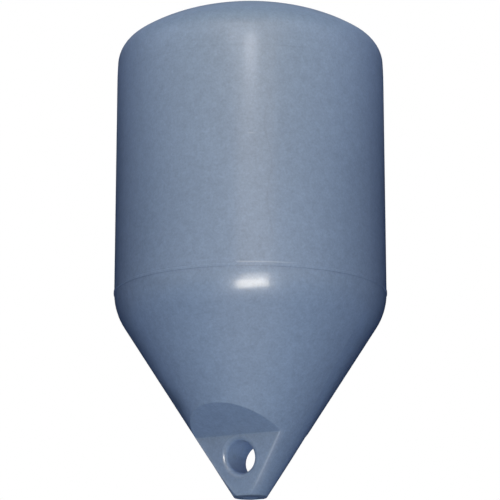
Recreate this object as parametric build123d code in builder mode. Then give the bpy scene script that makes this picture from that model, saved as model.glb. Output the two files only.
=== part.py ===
"""Marker buoy: a domed cylindrical body over a cone with a pierced mooring lug, joined at a seam."""
import os
from math import atan2, cos, radians, sin, tan

from build123d import *

# Driving dimensions, in millimetres and degrees.
# The origin is on the axis at the seam, where the moored buoy's waterline lies. +Z is up.
# The mooring eye's bore runs along Y, so the lug's two flat cheeks face +Y and -Y.
body_radius = 200.0
barrel_height = 320.0  # seam up to the foot of the dome
cone_height = 273.4  # flat tip up to where the lines of cone and barrel cross
knuckle_radius = 90.0
seam_rim = 1.0  # straight rim between the knuckle and the seam
tip_radius = 23.4
wall = 5.0

# The dome's section is four tangent arcs: a long lead-in, a tight shoulder, a haunch and a flat crown.
dome_rise = 110.8
lead_in_radius = 600.0
lead_in_turn = 2.9
shoulder_radius = 39.7
shoulder_turn = 53.1
haunch_turn = 16.1

# The weld bead round the seam, and the spigot that centres the upper shell on the lower one.
bead_width = 4.0
bead_proud = 0.8
bead_edge_radius = 0.5
spigot_height = 18.0
spigot_root = 12.0
spigot_wall = 4.0
spigot_clearance = 0.3

# The lug: two cheeks that lean towards each other downwards, each under a sloping ceiling.
shelf_height = 87.5  # where cheek and ceiling meet, above the flat tip
shelf_thickness = 73.4  # from cheek to cheek at that height
cheek_taper = 9.6
ceiling_slope = 28.7
lug_edge_radius = 2.5

# The mooring eye through the lug.
eye_height = 56.9  # above the flat tip
eye_radius = 23.0
eye_lip_radius = 7.2
eye_wall = 5.0

# The filler plug in the flat tip.
plug_head_radius = 11.0
plug_head_thickness = 2.4
plug_shank_radius = 7.7
plug_clearance = 0.2
plug_snap_length = 5.0
plug_snap_proud = 0.6
plug_edge_radius = 0.5

# Places that follow from them.
cone_angle = atan2(body_radius - tip_radius, cone_height)
corner_z = -seam_rim - knuckle_radius * tan(cone_angle / 2)
tip_z = corner_z - cone_height
shelf_z = tip_z + shelf_height
eye_z = tip_z + eye_height
inner_radius = body_radius - wall
spigot_radius = inner_radius - spigot_clearance
plug_hole_radius = plug_shank_radius + plug_clearance
reach = 2 * body_radius  # further out than anything on the buoy


def dome_radii():
    """Radii of haunch and crown that bring the crown level on the axis, dome_rise above its foot."""
    start = radians(lead_in_turn)
    first = radians(lead_in_turn + shoulder_turn)
    last = radians(lead_in_turn + shoulder_turn + haunch_turn)
    shoulder_x = body_radius - lead_in_radius + (lead_in_radius - shoulder_radius) * cos(start)
    shoulder_z = (lead_in_radius - shoulder_radius) * sin(start)
    across = -shoulder_x - shoulder_radius * cos(first)
    up = dome_rise - shoulder_z - shoulder_radius * sin(first)
    share = (cos(last) - cos(first)) * (1 - sin(last)) + cos(last) * (sin(last) - sin(first))
    haunch = (across * (1 - sin(last)) + up * cos(last)) / share
    crown = ((cos(last) - cos(first)) * up - (sin(last) - sin(first)) * across) / share
    return haunch, crown


def inner_cone_radius(z):
    """Radius at z of the cone's inner wall."""
    return tip_radius + (z - tip_z) * tan(cone_angle) - wall / cos(cone_angle)


def inner_cone_z(radius):
    """Height at which the cone's inner wall has this radius."""
    return tip_z + (radius - tip_radius + wall / cos(cone_angle)) / tan(cone_angle)


def recess_corners():
    """Corners (y, z) of what the mould leaves out beside one cheek: outside the cheek, below the ceiling."""
    shelf_y = shelf_thickness / 2
    foot_z = tip_z - wall
    foot_y = shelf_y - (shelf_z - foot_z) * tan(radians(cheek_taper))
    ceiling_end_z = shelf_z + (reach - shelf_y) * tan(radians(ceiling_slope))
    return [(foot_y, foot_z), (shelf_y, shelf_z), (reach, ceiling_end_z), (reach, foot_z)]


haunch_radius, crown_radius = dome_radii()
crown_turn = 90 - lead_in_turn - shoulder_turn - haunch_turn

# Upper shell: the barrel above the seam and the dome that closes it.
with BuildPart() as upper_shell:
    with BuildSketch(Plane.XZ):
        with BuildLine():
            outside = Line((body_radius, 0), (body_radius, barrel_height))
            lead_in = JernArc(outside @ 1, outside % 1, lead_in_radius, lead_in_turn)
            shoulder = JernArc(lead_in @ 1, lead_in % 1, shoulder_radius, shoulder_turn)
            haunch = JernArc(shoulder @ 1, shoulder % 1, haunch_radius, haunch_turn)
            crown = JernArc(haunch @ 1, haunch % 1, crown_radius, crown_turn)
            inside = Line((inner_radius, 0), (inner_radius, barrel_height))
            lead_in = JernArc(inside @ 1, inside % 1, lead_in_radius - wall, lead_in_turn)
            shoulder = JernArc(lead_in @ 1, lead_in % 1, shoulder_radius - wall, shoulder_turn)
            haunch = JernArc(shoulder @ 1, shoulder % 1, haunch_radius - wall, haunch_turn)
            inner_crown = JernArc(haunch @ 1, haunch % 1, crown_radius - wall, crown_turn)
            Line(crown @ 1, inner_crown @ 1)
            Line(outside @ 0, inside @ 0)
        make_face()
    revolve(axis=Axis.Z)

# The space inside the lower shell: the cone's inner wall, kept clear of cheeks, ceilings and eye.
with BuildPart() as inner_space:
    with BuildSketch(Plane.XZ) as inner_section:
        with BuildLine():
            Polyline(
                (0, tip_z + wall),
                (inner_cone_radius(tip_z + wall), tip_z + wall),
                (inner_radius, inner_cone_z(inner_radius)),
                (inner_radius, 0),
                (0, 0),
                close=True,
            )
        make_face()
        knuckle = inner_section.vertices().group_by(Axis.X)[-1].sort_by(Axis.Y)[0]
        fillet(knuckle, radius=knuckle_radius - wall)
    revolve(axis=Axis.Z)
    with BuildSketch(Plane.YZ):
        with BuildLine():
            Polyline(*recess_corners(), close=True)
        make_face()
        offset(amount=wall, kind=Kind.INTERSECTION)
        mirror(about=Plane.YZ)
    extrude(amount=reach, both=True, mode=Mode.SUBTRACT)
    with BuildSketch(Plane.XZ):
        with Locations((0, eye_z)):
            Circle(eye_radius + eye_wall)
    extrude(amount=reach, both=True, mode=Mode.SUBTRACT)

# Lower shell: the knuckle, the cone and the lug with its eye, and the spigot that stands in the upper shell.
with BuildPart() as lower_shell:
    with BuildSketch(Plane.XZ) as hull_section:
        with BuildLine():
            Polyline(
                (0, tip_z), (tip_radius, tip_z), (body_radius, corner_z), (body_radius, 0), (0, 0), close=True
            )
        make_face()
        knuckle = hull_section.vertices().group_by(Axis.X)[-1].sort_by(Axis.Y)[0]
        fillet(knuckle, radius=knuckle_radius)
    revolve(axis=Axis.Z)
    with BuildSketch(Plane.YZ):
        with BuildLine():
            Polyline(*recess_corners(), close=True)
        make_face()
        mirror(about=Plane.YZ)
    extrude(amount=reach, both=True, mode=Mode.SUBTRACT)
    cheek_edges = lower_shell.edges().filter_by(GeomType.HYPERBOLA)
    ceiling_edges = lower_shell.edges().filter_by(GeomType.ELLIPSE)
    shelf_edges = lower_shell.edges().filter_by(Axis.X).group_by(Axis.Z)[-1]
    tip_edges = lower_shell.edges().group_by(Axis.Z)[0]
    fillet(cheek_edges + ceiling_edges + shelf_edges + tip_edges, radius=lug_edge_radius)
    with BuildSketch(Plane.XZ):
        with Locations((0, eye_z)):
            Circle(eye_radius)
    extrude(amount=reach, both=True, mode=Mode.SUBTRACT)
    bore_edges = lower_shell.edges(Select.LAST).filter_by(GeomType.LINE, reverse=True)
    fillet(bore_edges, radius=eye_lip_radius)
    add(inner_space.part, mode=Mode.SUBTRACT)
    with BuildSketch(Plane.XZ):
        with BuildLine():
            Polyline(
                (spigot_radius - spigot_wall, -spigot_root),
                (inner_radius + wall / 2, -spigot_root),
                (inner_radius + wall / 2, 0),
                (spigot_radius, 0),
                (spigot_radius, spigot_height),
                (spigot_radius - spigot_wall, spigot_height),
                close=True,
            )
        make_face()
    revolve(axis=Axis.Z)
    with BuildSketch(Plane.XZ) as bead_section:
        with Locations((body_radius - wall / 2, 0)):
            Rectangle(wall / 2 + bead_proud, bead_width, align=(Align.MIN, Align.MAX))
        fillet(bead_section.vertices().group_by(Axis.X)[-1], radius=bead_edge_radius)
    revolve(axis=Axis.Z)
    with Locations(Plane(origin=(0, 0, tip_z), z_dir=(0, 0, -1))):
        CounterBoreHole(
            radius=plug_hole_radius,
            counter_bore_radius=plug_head_radius + plug_clearance,
            counter_bore_depth=plug_head_thickness,
            depth=wall + plug_snap_length,
        )

# Filler plug: a flush head in its counterbore, and a shank that snaps behind the wall.
with BuildPart() as filler_plug:
    snap_z = tip_z + wall + plug_clearance
    with BuildSketch(Plane.XZ) as plug_section:
        with BuildLine():
            Polyline(
                (0, tip_z),
                (plug_head_radius, tip_z),
                (plug_head_radius, tip_z + plug_head_thickness),
                (plug_shank_radius, tip_z + plug_head_thickness),
                (plug_shank_radius, snap_z),
                (plug_hole_radius + plug_snap_proud, snap_z),
                (plug_shank_radius - plug_snap_proud, snap_z + plug_snap_length),
                (0, snap_z + plug_snap_length),
                close=True,
            )
        make_face()
        head_edge = plug_section.vertices().group_by(Axis.Y)[0].sort_by(Axis.X)[-1]
        fillet(head_edge, radius=plug_edge_radius)
    revolve(axis=Axis.Z)

os.makedirs("parts", exist_ok=True)
upper_shell.part.label = "upper_shell"
export_step(upper_shell.part, "parts/upper_shell.step")
lower_shell.part.label = "lower_shell"
export_step(lower_shell.part, "parts/lower_shell.step")
filler_plug.part.label = "filler_plug"
export_step(filler_plug.part, "parts/filler_plug.step")
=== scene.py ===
"""Studio scene of the marker buoy: the finish of its shells and plug, the lamps, the floor and the camera."""
from math import cos, pi, radians, sin, tan

import bpy
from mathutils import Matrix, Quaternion, Vector


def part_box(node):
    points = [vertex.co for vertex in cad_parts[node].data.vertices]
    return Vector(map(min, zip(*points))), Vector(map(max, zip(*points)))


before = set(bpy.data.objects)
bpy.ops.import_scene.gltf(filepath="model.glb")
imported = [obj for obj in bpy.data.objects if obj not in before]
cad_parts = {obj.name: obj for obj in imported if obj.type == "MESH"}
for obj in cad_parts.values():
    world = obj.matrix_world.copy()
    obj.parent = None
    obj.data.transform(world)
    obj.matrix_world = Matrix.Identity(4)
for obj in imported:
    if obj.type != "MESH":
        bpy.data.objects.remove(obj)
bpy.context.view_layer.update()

# The camera looks up at the buoy. Azimuths are degrees round the buoy, elevations degrees above the horizon.
camera_azimuth = 30.6
camera_elevation = -13.5
camera_distance = 3.178
camera_lens = 154.8
camera_sensor = 36.0
camera_shift = -0.0008
aim = Vector((0, 0, 0.066))

# The marks in the finish: places and heights are in metres, angles in degrees round the buoy, and a pair gives
# where a mark begins and where it is full.

# The seam, where the two shells meet.
seam_z = 0.0
seam_half = 0.0016

# Upper shell: the ring at the dome's foot, and the crest above it where the skin falls off.
ring_z = 0.3175
ring_half = 0.0018
crest_rise = (0.333, 0.372)
crest_drop = 0.0014

# Upper shell: the flash round the seam, which is lifted for a short way under a painted highlight, and beside
# that stands taller under a wider painted highlight.
flash_z = 0.0019
flash_half = 0.0014
flash_lift = 0.0042
lift_start = (4.0, 7.0)
lift_end = (25.0, 24.0)
highlight_start = (24.0, 26.0)
highlight_end = (52.0, 42.0)

# Upper shell: the scuff, whitened as a painted highlight, the flow mark that wavers down the barrel, and the
# ripples.
scuff_highlight_z = 0.1870
scuff_highlight_half = 0.0018
scuff_highlight_angle = 31.0
scuff_highlight_spread = 2.6
flow_foot = (0.04, 0.06)
flow_top = (0.235, 0.20)
flow_angle = 38.2
flow_spread = 0.7
flow_bend_z = 0.17
flow_lean = 30.0
waver_z = 0.12
waver_length = 0.1
waver_angle = 0.9
ripple_z = 0.052
ripple_half = 0.036

# Lower shell: cone, lug and eye, as the solids have them.
body_radius = 0.2
cone_height = 0.2734
tip_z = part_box("lower_shell")[0][2]
tip_radius = 0.0234
cone_lean = (body_radius - tip_radius) / cone_height
shelf_z = tip_z + 0.0875
shelf_half = 0.0367
cheek_lean = tan(radians(9.6))
eye_z = tip_z + 0.0569
eye_radius = 0.023

# Lower shell: the painted highlight along the lug's edges, the eye's lips, the painted light in its bore, and
# the painted shade on the flat tip.
edge_reach = 0.011
cone_reach = 0.005
edge_foot = (tip_z + 0.002, tip_z + 0.025)
edge_top = (shelf_z + 0.004, shelf_z - 0.004)
lip_radius = eye_radius + 0.005
lip_half = 0.006
lip_polish = 0.2
bore_mouth = (eye_radius + 0.002, eye_radius)
tip_face = (tip_z + 0.003, tip_z + 0.001)

# Lower shell: the knuckle's ridges, and the patch of painted shade on the cone.
ridge_z = -0.015
ridge_half = 0.05
ridge_height = 0.00012
shade_patch_z = -0.168
shade_patch_half = 0.034
shade_patch_angle = -42.0
shade_patch_spread = 17.0

# Finish of the two mouldings, the whitish tone of rubbed polyethylene and of painted highlights, and the
# lamps' tints.
white = (1, 1, 1, 1)
shell_colour = (0.174, 0.255, 0.420, 1)
plug_colour = (0.24, 0.32, 0.48, 1)
shell_roughness = 0.40
plug_roughness = 0.5
chalk_and_highlight_colour = (0.47, 0.55, 0.72, 1)
warm = (1.08, 1.0, 0.86)
amber = (1.23, 1.0, 0.67)
pale = (1.09, 1.0, 0.70)
gold = (1.16, 1.0, 0.58)
plain = (0.97, 1.0, 1.15)
even = (1.02, 1.0, 1.0)


def direction(azimuth, elevation):
    """Unit vector from the buoy towards a place that far to the right of the camera and above the horizon."""
    turn, rise = radians(camera_azimuth + azimuth), radians(elevation)
    return Vector((sin(turn) * cos(rise), -cos(turn) * cos(rise), sin(rise)))


def point_at_buoy(thing, azimuth, elevation, distance, target, roll=0):
    """Puts a lamp or camera at that distance from the target and turns it to look at it."""
    away = direction(azimuth, elevation)
    thing.location = target + away * distance
    thing.rotation_mode = "QUATERNION"
    thing.rotation_quaternion = (-away).to_track_quat("-Z", "Y") @ Quaternion((0, 0, 1), radians(roll))


# Nodes that the materials are made of.
def new_tree(tree):
    """Empties a node tree and returns a function that adds a node with its settings and links."""
    tree.nodes.clear()

    def add(kind, inputs=(), **settings):
        node = tree.nodes.new(kind)
        for name, value in settings.items():
            setattr(node, name, value)
        for name, value in dict(inputs).items():
            socket = node.inputs[name]
            if isinstance(value, bpy.types.NodeSocket):
                tree.links.new(value, socket)
            else:
                socket.default_value = value
        return node

    return add


def new_group(name, inputs, outputs):
    """A node group with named sockets: its tree's add function, the group and what it is given."""
    group = bpy.data.node_groups.new(name, "ShaderNodeTree")
    for socket, kind in inputs.items():
        group.interface.new_socket(socket, in_out="INPUT", socket_type="NodeSocket" + kind)
    for socket, kind in outputs.items():
        group.interface.new_socket(socket, in_out="OUTPUT", socket_type="NodeSocket" + kind)
    add = new_tree(group)
    return add, group, add("NodeGroupInput").outputs


def new_material(name):
    """An empty material and its tree's add function."""
    material = bpy.data.materials.new(name)
    material.use_nodes = True
    return material, new_tree(material.node_tree)


def calc(add, operation, first, second=0.0, third=0.0):
    """A Math node's result."""
    return add("ShaderNodeMath", {0: first, 1: second, 2: third}, operation=operation).outputs[0]


def minus(add, first, second):
    """The first value less the second."""
    return calc(add, "SUBTRACT", first, second)


def both(add, first, second):
    """Where two masks meet."""
    return calc(add, "MULTIPLY", first, second)


def total(add, first, *others):
    """Values added up."""
    for other in others:
        first = calc(add, "ADD", first, other)
    return first


def weighted(add, *pairs):
    """Masks added up, each times its weight."""
    return total(add, *(calc(add, "MULTIPLY", mask, weight) for mask, weight in pairs))


def ease(add, value, start, end, low=0.0, high=1.0):
    """A value eased from low to high while the given one goes from start to end."""
    inputs = {"Value": value, "From Min": start, "From Max": end, "To Min": low, "To Max": high}
    return add("ShaderNodeMapRange", inputs, interpolation_type="SMOOTHSTEP").outputs["Result"]


def window(add, value, start, end):
    """1 between two ends and 0 outside them."""
    return both(add, ease(add, value, *start), ease(add, value, *end))


def length(add, vector):
    """A vector's length."""
    return add("ShaderNodeVectorMath", {0: vector}, operation="LENGTH").outputs["Value"]


def noise(add, place, scale, detail, roughness=0.5):
    """Cloudy noise from 0 to 1."""
    inputs = {"Vector": place, "Scale": scale, "Detail": detail, "Roughness": roughness}
    return add("ShaderNodeTexNoise", inputs).outputs[0]


def upright_noise(add, place, squeeze, scale):
    """Noise that is squeezed along the buoy's axis, or drawn out where the squeeze is under 1."""
    inputs = {0: place, 1: (1.0, 1.0, squeeze)}
    squeezed = add("ShaderNodeVectorMath", inputs, operation="MULTIPLY").outputs[0]
    return noise(add, squeezed, scale, detail=1.0)


def scaled(add, colour, shade):
    """The colour times a value."""
    return add("ShaderNodeVectorMath", {0: colour, "Scale": shade}, operation="SCALE").outputs[0]


def lighten(add, colour, amount):
    """The colour made lighter by that share, or darker where it is negative."""
    return scaled(add, colour, calc(add, "ADD", amount, 1.0))


def chalk_and_highlight(add, colour, amount):
    """The colour whitened by that share, for rubbed polyethylene and for painted highlights."""
    inputs = {"Factor": amount, 6: colour, 7: chalk_and_highlight_colour}
    return add("ShaderNodeMix", inputs, data_type="RGBA").outputs[2]


def height_and_angle(add, place):
    """Height in metres and angle round the buoy in degrees, as the camera's azimuth counts it."""
    parts = add("ShaderNodeSeparateXYZ", {0: place}).outputs
    turn = calc(add, "ARCTAN2", parts["X"], calc(add, "MULTIPLY", parts["Y"], -1.0))
    return parts["Z"], calc(add, "DEGREES", turn)


# Band: a soft mark of some width round a place on one axis.
add, band, given = new_group(
    "band",
    {"Value": "Float", "Centre": "Float", "Half Width": "Float"},
    {"Mask": "Float"},
)
offset = calc(add, "ABSOLUTE", minus(add, given["Value"], given["Centre"]))
add("NodeGroupOutput", {"Mask": ease(add, offset, 0.0, given["Half Width"], 1.0, 0.0)})


def mark(add, value, centre, half_width):
    """A soft band round the centre."""
    inputs = {"Value": value, "Centre": centre, "Half Width": half_width}
    return add("ShaderNodeGroup", inputs, node_tree=band).outputs["Mask"]


# Moulded skin: cloudy colour, a fine orange peel and a sheen that changes a little from place to place.
cloud_share = 0.10
mottle_share = 0.46
grain_share = 0.34
sheen_share = 0.10
peel_depth = 0.00004
noise_middle = 0.5
add, skin, given = new_group(
    "moulded_skin",
    {"Place": "Vector", "Colour": "Color", "Roughness": "Float"},
    {"Colour": "Color", "Roughness": "Float", "Height": "Float"},
)
clouds = noise(add, given["Place"], scale=9.0, detail=2.0)
mottle = noise(add, given["Place"], scale=75.0, detail=3.0, roughness=0.9)
grain = noise(add, given["Place"], scale=330.0, detail=1.0, roughness=0.6)
peel = noise(add, given["Place"], scale=260.0, detail=2.0)
shade = calc(add, "MULTIPLY_ADD", clouds, cloud_share, 1 - cloud_share / 2)
shade = calc(add, "MULTIPLY_ADD", minus(add, mottle, noise_middle), mottle_share, shade)
shade = calc(add, "MULTIPLY_ADD", minus(add, grain, noise_middle), grain_share, shade)
sheen = calc(add, "MULTIPLY_ADD", clouds, sheen_share, minus(add, given["Roughness"], sheen_share / 2))
skin_outputs = {
    "Colour": scaled(add, given["Colour"], shade),
    "Roughness": sheen,
    "Height": calc(add, "MULTIPLY", peel, peel_depth),
}
add("NodeGroupOutput", skin_outputs)


def moulded_material(name, colour, roughness):
    """A material of moulded polyethylene: with it its tree's add function, the place and the skin."""
    material, add = new_material(name)
    place = add("ShaderNodeTexCoord").outputs["Object"]
    made = add("ShaderNodeGroup", node_tree=skin)
    material.node_tree.links.new(place, made.inputs["Place"])
    made.inputs["Colour"].default_value = colour
    made.inputs["Roughness"].default_value = roughness
    return material, add, place, made.outputs


def finish_material(add, colour, roughness, height):
    """The shader and output of a moulded material: semi-gloss under a thin clear skin."""
    normal = add("ShaderNodeBump", {"Height": height, "Strength": 1.0, "Distance": 1.0}).outputs[0]
    body = {"Base Color": colour, "Roughness": roughness, "Normal": normal, "IOR": 1.5}
    gloss = {"Coat Weight": 0.7, "Coat Roughness": 0.17, "Coat IOR": 1.5}
    shader = add("ShaderNodeBsdfPrincipled", {**body, **gloss})
    add("ShaderNodeOutputMaterial", {"Surface": shader.outputs[0]})


def upper_shell_blue():
    """Barrel and dome: a faint ring, the seam's flash with painted highlights, painted light along the seam, a
    scuff with a painted highlight, a long flow mark and ripples.
    """
    material, add, place, made = moulded_material("upper_shell_blue", shell_colour, shell_roughness)
    z, angle = height_and_angle(add, place)

    # The faint ring at the dome's foot, and the skin's fall-off above it.
    ring = mark(add, z, ring_z, ring_half)
    crest = ease(add, z, *crest_rise, 0.0, -crest_drop)

    # Flash round the seam: a ridge that sits higher for a short way under a painted highlight, and taller
    # beside it under a wider painted highlight.
    step = window(add, angle, lift_start, lift_end)
    flash = mark(add, z, calc(add, "MULTIPLY_ADD", step, flash_lift, flash_z), flash_half)
    lifted_highlight = both(add, flash, step)
    highlit_flash = both(add, flash, window(add, angle, highlight_start, highlight_end))
    # Painted light along the seam, which lightens the shade of the groove where the shells meet.
    seam_light = mark(add, z, seam_z, seam_half)

    # A short scuff, raised a little and whitened as a painted highlight, and a long flow mark, which wavers
    # down the barrel and leans above its bend.
    scuff_highlight = both(add, mark(add, z, scuff_highlight_z, scuff_highlight_half), mark(add, angle, scuff_highlight_angle, scuff_highlight_spread))
    waver = calc(add, "SINE", calc(add, "MULTIPLY", minus(add, z, waver_z), 2 * pi / waver_length))
    above_bend = calc(add, "MAXIMUM", minus(add, z, flow_bend_z), 0.0)
    line = calc(add, "MULTIPLY_ADD", waver, waver_angle, flow_angle)
    line = calc(add, "MULTIPLY_ADD", above_bend, -flow_lean, line)
    flow = both(add, window(add, z, flow_foot, flow_top), mark(add, angle, line, flow_spread))

    # Ripples in the skin above the seam.
    unevenness = upright_noise(add, place, squeeze=2.2, scale=55.0)
    ripple = both(add, mark(add, z, ripple_z, ripple_half), unevenness)

    # Colour marks, with painted light among them: the lifted flash is lightened as a painted highlight and the
    # seam as painted light.
    marks_and_painted_light = weighted(add, (ring, -0.05), (lifted_highlight, 0.06), (seam_light, 0.02), (flow, -0.09))
    raised = weighted(
        add,
        (ring, -0.00003),
        (flash, 0.00008),
        (highlit_flash, 0.00016),
        (scuff_highlight, 0.00006),
        (flow, -0.00005),
        (ripple, 0.00034),
    )
    # Whitened as painted highlights: the flash beside its lifted stretch, and the scuff.
    highlight_and_chalk = weighted(add, (highlit_flash, 0.27), (scuff_highlight, 0.18))
    colour = chalk_and_highlight(add, lighten(add, made["Colour"], marks_and_painted_light), highlight_and_chalk)
    finish_material(add, colour, made["Roughness"], total(add, made["Height"], crest, raised))
    return material


def lower_shell_blue():
    """Knuckle, cone and lug: a painted highlight on the lug's edges, worn lips with a faint painted sheen,
    painted light in the bore, and painted shade on the underside and in a patch on the cone.
    """
    material, add, place, made = moulded_material("lower_shell_blue", shell_colour, shell_roughness)
    z, angle = height_and_angle(add, place)
    parts = add("ShaderNodeSeparateXYZ", {0: place}).outputs

    # A painted highlight along the edge where the lug's cheeks meet the cone, from the tip up to the shelf.
    cheek = calc(add, "MULTIPLY_ADD", minus(add, z, shelf_z), cheek_lean, shelf_half)
    cone = calc(add, "MULTIPLY_ADD", minus(add, z, tip_z), cone_lean, tip_radius)
    from_axis = length(add, add("ShaderNodeCombineXYZ", {"X": parts["X"], "Y": parts["Y"]}).outputs[0])
    from_cheek = minus(add, calc(add, "ABSOLUTE", parts["Y"]), cheek)
    at_cheek = mark(add, from_cheek, 0.0, edge_reach)
    at_cone = mark(add, minus(add, from_axis, cone), 0.0, cone_reach)
    edge_highlight = both(add, both(add, at_cheek, at_cone), window(add, z, edge_foot, edge_top))

    # The eye's lips, polished smoother and whitened a little as a painted sheen, and its bore, lightened as
    # painted light.
    seen_along = {"X": parts["X"], "Y": minus(add, z, eye_z)}
    from_eye = length(add, add("ShaderNodeCombineXYZ", seen_along).outputs[0])
    lip_wear_and_sheen = mark(add, from_eye, lip_radius, lip_half)
    bore_painted_light = ease(add, from_eye, *bore_mouth)

    # Painted shade on the flat tip and in a patch on the cone, and painted light along the seam.
    under = ease(add, z, *tip_face)
    shade_patch = both(add, mark(add, angle, shade_patch_angle, shade_patch_spread), mark(add, z, shade_patch_z, shade_patch_half))
    seam_light = mark(add, z, seam_z, seam_half)

    # Low ridges down the knuckle break up its highlight.
    streaks = upright_noise(add, place, squeeze=0.3, scale=70.0)
    ridges = both(add, mark(add, z, ridge_z, ridge_half), streaks)

    # Colour marks: painted light in the bore and along the seam, painted shade on the flat tip and in the
    # cone's patch.
    marks_and_painted_light = weighted(add, (bore_painted_light, 0.24), (under, -0.60), (shade_patch, -0.40), (seam_light, 0.10))
    # Whitened: the lug's edges as a painted highlight, and the lips as wear with a faint painted sheen.
    highlight_and_chalk = weighted(add, (edge_highlight, 0.20), (lip_wear_and_sheen, 0.05))
    colour = chalk_and_highlight(add, lighten(add, made["Colour"], marks_and_painted_light), highlight_and_chalk)
    polished = calc(add, "MULTIPLY_ADD", lip_wear_and_sheen, -lip_polish, made["Roughness"])
    height = calc(add, "MULTIPLY_ADD", ridges, ridge_height, made["Height"])
    finish_material(add, colour, polished, height)
    return material


def plug_blue():
    """Filler plug: the plain skin, a little lighter and duller than the shells."""
    material, add, place, made = moulded_material("plug_blue", plug_colour, plug_roughness)
    finish_material(add, made["Colour"], made["Roughness"], made["Height"])
    return material


finishes = {"upper_shell": upper_shell_blue(), "lower_shell": lower_shell_blue(), "filler_plug": plug_blue()}
for name, material in finishes.items():
    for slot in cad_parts[name].material_slots:
        slot.material = material

# Camera.
bpy.ops.object.select_all(action="DESELECT")
bpy.ops.object.camera_add()
camera = bpy.context.object
camera.name = "camera"
camera.data.lens = camera_lens
camera.data.sensor_width = camera_sensor
camera.data.shift_x = camera_shift
point_at_buoy(camera, 0, camera_elevation, camera_distance, aim)
bpy.context.scene.camera = camera


# Lamps: softboxes, each given by its azimuth, its elevation, its distance in metres, the width and height in
# degrees that it fills seen from its target, its brightness and its tint.
knuckle = Vector((0, 0, -0.02))
brow = Vector((0, 0, 0.33))


def softbox(name, azimuth, elevation, distance, width, height, brightness, tint, target=aim, roll=0):
    """An area lamp that fills width by height degrees, seen from its target."""
    bpy.ops.object.light_add(type="AREA")
    lamp = bpy.context.object
    lamp.name = name
    lamp.data.shape = "RECTANGLE"
    lamp.data.size = 2 * distance * tan(radians(width / 2))
    lamp.data.size_y = 2 * distance * tan(radians(height / 2))
    lamp.data.energy = brightness * pi * lamp.data.size * lamp.data.size_y
    lamp.data.color = tint
    lamp.visible_camera = False
    point_at_buoy(lamp, azimuth, elevation, distance, target, roll)
    return lamp


# Lamps that the gloss mirrors. The second low one is only mirrored.
softbox("low_front_lamp", 1.1, -19.5, 1.3, 24, 12.5, 13.7, warm, target=knuckle, roll=12)
upper_lamp = softbox("low_upper_lamp", 3.2, -8.5, 1.3, 21, 10, 5.5, warm, target=knuckle, roll=12)
upper_lamp.visible_diffuse = False
softbox("column_lamp", 3.6, 15, 2.4, 30, 20, 0.65, amber)
softbox("strip_lamp", -0.2, 17.8, 2.5, 8, 2.8, 8.2, plain, target=brow)
softbox("blob_lamp", 0.3, 18.2, 2.45, 12, 2.0, 6.6, even, target=brow)
softbox("arm_lamp", -13, 19.9, 2.45, 11, 2.4, 4.4, plain, target=brow)

# Lamps that only fill: the gloss doesn't mirror them.
fills = [
    softbox("front_fill_lamp", -5, 20, 1.6, 40, 30, 0.1, amber),
    softbox("low_fill_lamp", -3, -44, 0.85, 54, 20, 2.25, pale, target=knuckle),
    softbox("brow_lamp", -3, 25, 0.8, 55, 20, 3.75, gold, target=brow),
    softbox("left_brow_lamp", -66, 14, 0.5, 44, 24, 0.9, even, target=brow),
    softbox("right_brow_lamp", 66, 14, 0.5, 44, 24, 1.05, even, target=brow),
    softbox("back_lamp", 180, 8, 2.0, 22, 50, 8.0, warm),
]
for lamp in fills:
    lamp.visible_glossy = False


def looked_at(add, path):
    """1 for rays that see a surface from the camera, in a mirror or through glass, and 0 for its light."""
    seen = calc(add, "MAXIMUM", path["Is Camera Ray"], path["Is Glossy Ray"])
    return calc(add, "MAXIMUM", seen, path["Is Transmission Ray"])


# World: white for what looks at it, a dim bluish fill for what it lights.
world_fill = (0.075, 0.105, 0.145, 1)
world = bpy.data.worlds.new("studio")
bpy.context.scene.world = world
world.use_nodes = True
add = new_tree(world.node_tree)
seen = looked_at(add, add("ShaderNodeLightPath").outputs)
sky = add("ShaderNodeMix", {"Factor": seen, 6: world_fill, 7: white}, data_type="RGBA").outputs[2]
add("ShaderNodeOutputWorld", {"Surface": add("ShaderNodeBackground", {"Color": sky}).outputs[0]})


# Floor, just below the camera.
floor_drop = 0.01
floor_z = camera.location.z - floor_drop
floor_size = 60
floor_colour = (0.8, 0.8, 0.8, 1)
floor_glow = 0.68
whitening = (0.7, 1.5)


def pale_floor():
    """Painted floor that turns into the white of the world further out and is see-through from below."""
    material, add = new_material("pale_floor")
    path = add("ShaderNodeLightPath").outputs
    away = length(add, add("ShaderNodeTexCoord").outputs["Object"])
    far = ease(add, away, *whitening)
    painted = add("ShaderNodeBsdfDiffuse", {"Color": floor_colour}).outputs[0]
    strength = both(add, ease(add, away, *whitening, floor_glow, 1.0), looked_at(add, path))
    glow = add("ShaderNodeEmission", {"Color": white, "Strength": strength}).outputs[0]
    near = add("ShaderNodeAddShader", {0: painted, 1: glow}).outputs[0]
    surface = add("ShaderNodeMixShader", {0: far, 1: near, 2: glow}).outputs[0]
    below = both(add, path["Is Camera Ray"], add("ShaderNodeNewGeometry").outputs["Backfacing"])
    clear = add("ShaderNodeBsdfTransparent").outputs[0]
    see_through = add("ShaderNodeMixShader", {0: below, 1: surface, 2: clear}).outputs[0]
    add("ShaderNodeOutputMaterial", {"Surface": see_through})
    return material


bpy.ops.mesh.primitive_plane_add(size=floor_size, location=(0, 0, floor_z))
floor = bpy.context.object
floor.name = "floor"
floor.data.materials.append(pale_floor())

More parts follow.
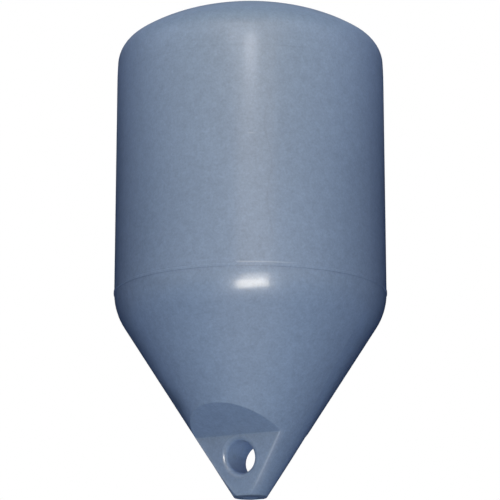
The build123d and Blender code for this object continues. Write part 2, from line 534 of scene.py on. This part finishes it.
# Tent of dim cloth round the buoy, unseen by the camera: the shells mirror it. Its glows are placed by height
# and by distance towards the front, in metres, and a pair gives where a glow begins and where it is full.
tent_radius = 3.0
tent_foot = floor_z + 0.01
front_azimuth = -5
belt_z = 1.65
belt_half = 0.75
belt_forward = (-0.9, 0.9)
belt_behind = 0.04
rear_backward = (0.0, -2.0)
rear_height = (1.4, 2.4)
front_forward = (0.0, 2.8)
high_height = (0.8, 2.8)
tent_colour = (0.010, 0.026, 0.070, 1)
rear_glow = (0.12, 0.16, 0.22, 1)
belt_glow = (0.48, 0.60, 0.92, 1)
front_glow = (0.25, 0.15, 0.02, 1)
high_glow = (0.16, 0.20, 0.28, 1)


def tent_cloth():
    """Cloth that is dark low behind and glows softly in a belt, in front, above and high behind."""
    material, add = new_material("tent_cloth")
    place = add("ShaderNodeTexCoord").outputs["Object"]
    inputs = {0: place, 1: direction(front_azimuth, 0)}
    forward = add("ShaderNodeVectorMath", inputs, operation="DOT_PRODUCT").outputs["Value"]
    height = add("ShaderNodeSeparateXYZ", {0: place}).outputs["Z"]
    to_front = ease(add, forward, *belt_forward, belt_behind, 1.0)
    belt = both(add, mark(add, height, belt_z, belt_half), to_front)
    rear = both(add, ease(add, forward, *rear_backward), ease(add, height, *rear_height))
    glows = [
        (rear, rear_glow),
        (belt, belt_glow),
        (ease(add, forward, *front_forward), front_glow),
        (ease(add, height, *high_height), high_glow),
    ]
    cloth = add("ShaderNodeBsdfDiffuse", {"Color": tent_colour}).outputs[0]
    for mask, colour in glows:
        glow = add("ShaderNodeEmission", {"Color": colour, "Strength": mask}).outputs[0]
        cloth = add("ShaderNodeAddShader", {0: cloth, 1: glow}).outputs[0]
    add("ShaderNodeOutputMaterial", {"Surface": cloth})
    return material


bpy.ops.object.select_all(action="DESELECT")
bpy.ops.mesh.primitive_uv_sphere_add(segments=48, ring_count=24, radius=tent_radius)
tent = bpy.context.object
tent.name = "tent"
bpy.ops.object.mode_set(mode="EDIT")
bpy.ops.mesh.select_all(action="SELECT")
bpy.ops.mesh.bisect(plane_co=(0, 0, tent_foot), plane_no=(0, 0, 1), clear_inner=True)
bpy.ops.object.mode_set(mode="OBJECT")
tent.visible_camera = False
tent.data.materials.append(tent_cloth())

# Dark cloth on the floor, unseen by the camera: it keeps light from bouncing up at the shells' undersides.
floor_cloth_radius = 3.1
floor_cloth_z = floor_z + 0.004
floor_cloth_colour = (0.05, 0.06, 0.08, 1)
floor_cloth_glow = (0.04, 0.08, 0.177, 1)


def floor_cloth():
    """Dark cloth with a faint blue glow."""
    material, add = new_material("floor_cloth")
    cloth = add("ShaderNodeBsdfDiffuse", {"Color": floor_cloth_colour}).outputs[0]
    glow = add("ShaderNodeEmission", {"Color": floor_cloth_glow, "Strength": 1.0}).outputs[0]
    glowing = add("ShaderNodeAddShader", {0: cloth, 1: glow}).outputs[0]
    add("ShaderNodeOutputMaterial", {"Surface": glowing})
    return material


bpy.ops.mesh.primitive_circle_add(vertices=48, radius=floor_cloth_radius, fill_type="NGON")
cloth = bpy.context.object
cloth.location = (0, 0, floor_cloth_z)
cloth.name = "floor_cloth"
cloth.visible_camera = False
cloth.visible_shadow = False
cloth.data.materials.append(floor_cloth())

bpy.context.scene.view_settings.view_transform = "Standard"
